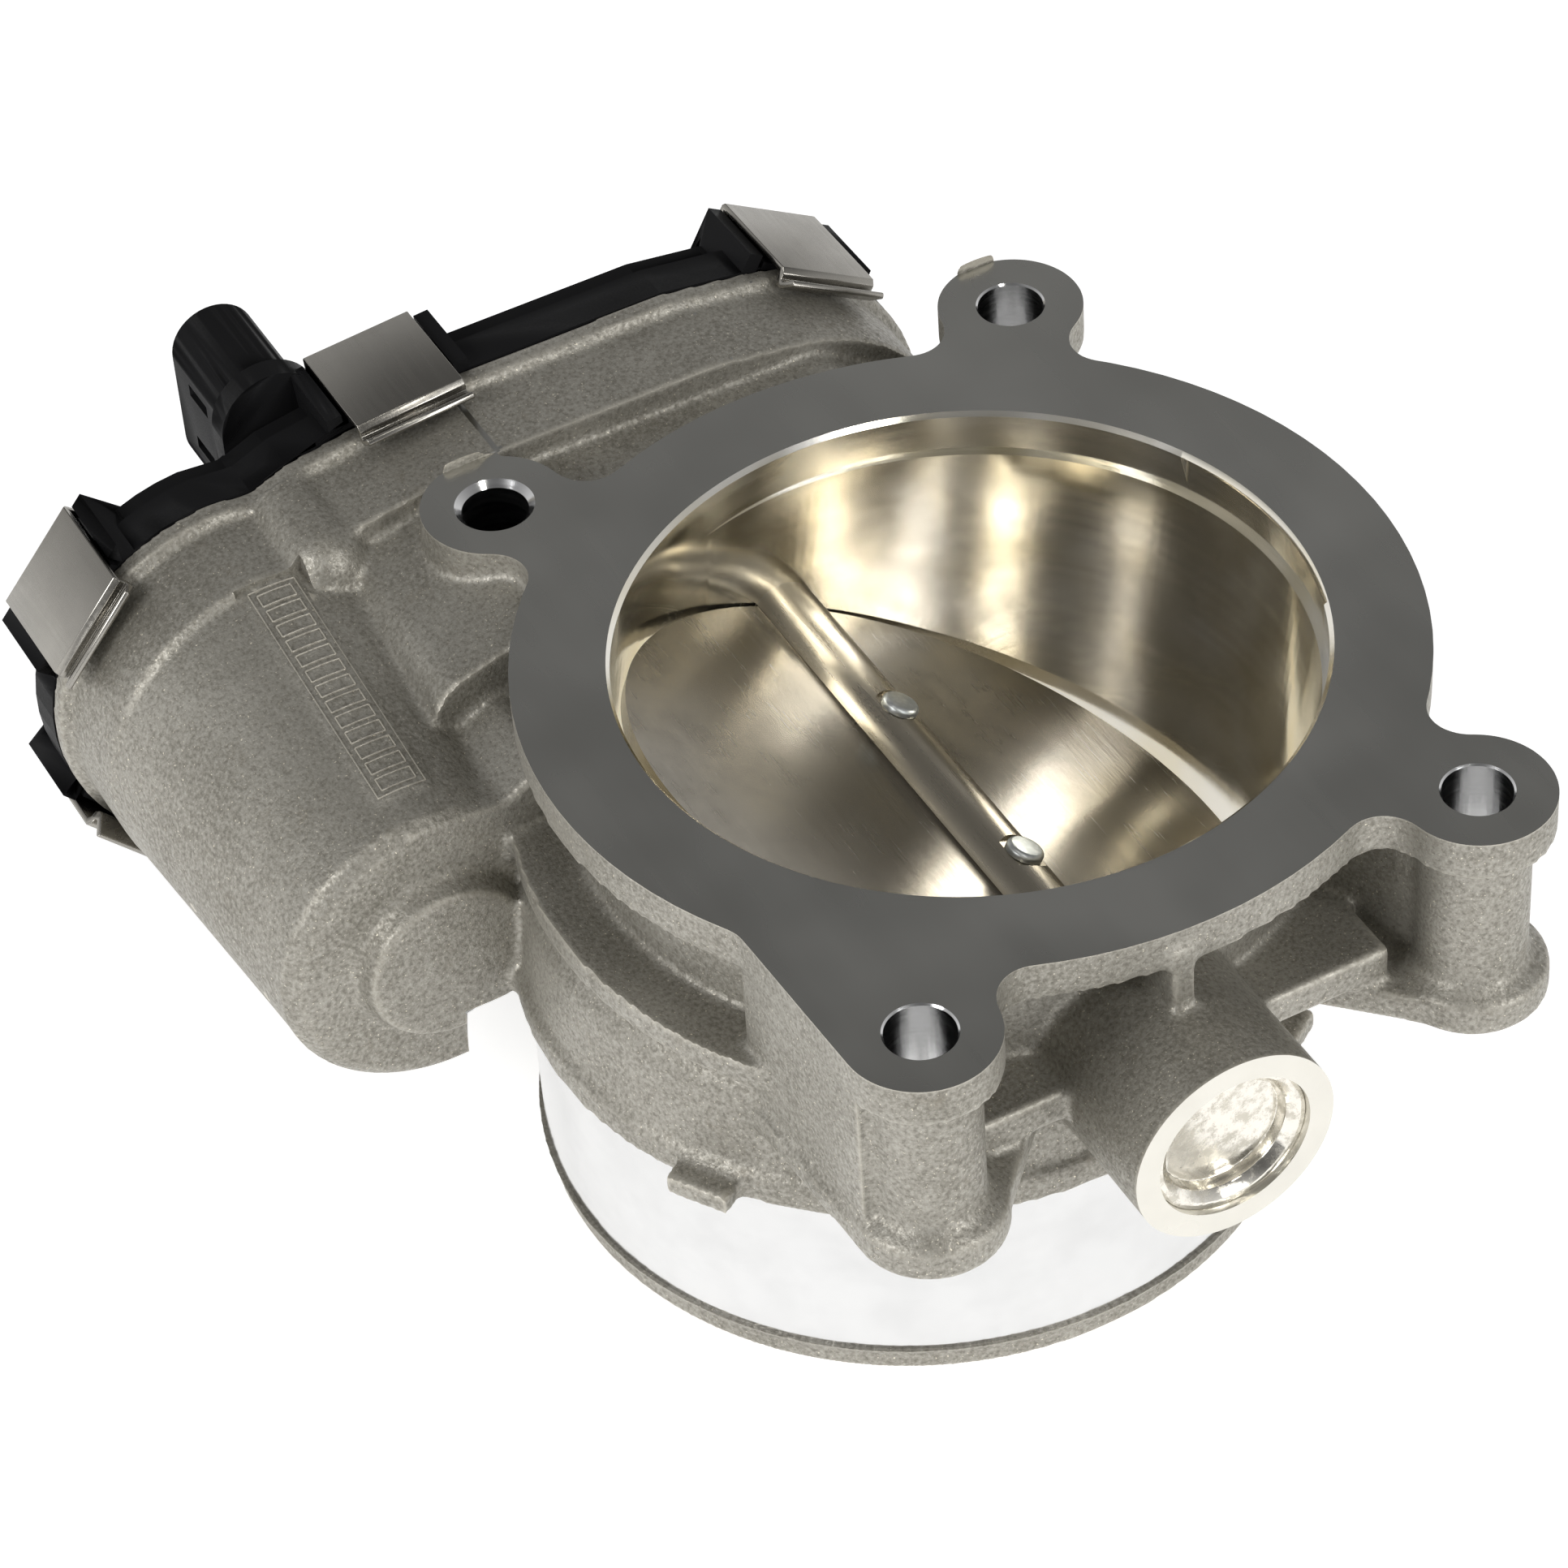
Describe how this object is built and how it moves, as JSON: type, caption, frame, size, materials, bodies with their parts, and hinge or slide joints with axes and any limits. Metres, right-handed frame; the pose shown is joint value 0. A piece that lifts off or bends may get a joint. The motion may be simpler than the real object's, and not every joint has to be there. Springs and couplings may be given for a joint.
{
  "type": "electronic throttle body",
  "caption": "Cast throttle body with a butterfly plate in a tilted bore, a geared electric drive under a clipped plastic cover, a bolted flange and a hose collar.",
  "frame": {"origin": "centre of the bore opening on the manifold face", "axes": "+Z out of the manifold face, X along the throttle shaft with the gearbox at -X, motor side at -Y"},
  "size_m": [0.186, 0.1568, 0.08],
  "materials": {
    "cast_aluminium": "bead-blasted casting with machined faces",
    "shaft_steel": "ground, satin",
    "plate_alloy": "rolled sheet, satin",
    "zinc_steel": "zinc plated",
    "bearing_steel": "ground",
    "seal_rubber": "moulded",
    "plug_steel": "pressed, bright",
    "spring_steel": "drawn wire",
    "natural_nylon": "moulded",
    "black_nylon": "moulded",
    "magnet": "sintered",
    "lamination_steel": "stamped stack",
    "copper": "turned",
    "can_steel": "deep drawn, zinc plated",
    "carbon": "pressed carbon",
    "terminal_tin": "tin plated",
    "cover_plastic": "moulded, fine grain",
    "board": "lacquered",
    "clip_steel": "sprung strip, satin"
  },
  "bodies": {
    "housing_body": {"housing": "cast_aluminium", "gear_side_bearing": "bearing_steel", "plug_side_bearing": "bearing_steel", "shaft_seals": "seal_rubber", "shaft_plug": "plug_steel", "return_spring": "spring_steel", "spring_bush": "black_nylon", "intermediate_gear_pin": "bearing_steel", "motor_can": "can_steel", "motor_magnets": "magnet", "motor_end_cap": "black_nylon", "motor_brushes": "carbon", "motor_screws": "zinc_steel", "motor_terminals": "terminal_tin", "motor_wave_washer": "spring_steel", "stop_screw": "zinc_steel", "gear_cover": "cover_plastic", "cover_seal": "seal_rubber", "sensor_board": "board", "connector_pins": "terminal_tin", "cover_clips": "clip_steel"},
    "throttle": {"throttle_shaft": "shaft_steel", "throttle_plate": "plate_alloy", "plate_screws": "zinc_steel", "sector_gear": "black_nylon", "sensor_magnet": "magnet"},
    "intermediate": {"intermediate_gear": "natural_nylon"},
    "rotor": {"motor_pinion": "copper", "motor_shaft": "bearing_steel", "motor_armature": "lamination_steel", "motor_commutator": "copper"}
  },
  "joints": [
    {"name": "throttle_turn", "type": "hinge", "parent": "housing_body", "child": "throttle", "pos_m": [0, -0.00428, -0.027], "axis": [-1, 0, 0], "range_deg": [-12.5, 65.5], "stiffness_Nm_per_rad": 0.25},
    {"name": "intermediate_turn", "type": "hinge", "parent": "housing_body", "child": "intermediate", "pos_m": [0, -0.03651, -0.03699], "axis": [-1, 0, 0], "range_deg": [-190, 38]},
    {"name": "rotor_turn", "type": "hinge", "parent": "housing_body", "child": "rotor", "pos_m": [0, -0.069, -0.036], "axis": [-1, 0, 0], "range_deg": [-121, 626]}
  ],
  "couplings": [
    {"joint": "intermediate_turn", "follows": "throttle_turn", "ratio": -2.8571},
    {"joint": "rotor_turn", "follows": "throttle_turn", "ratio": 9.5238}
  ]
}
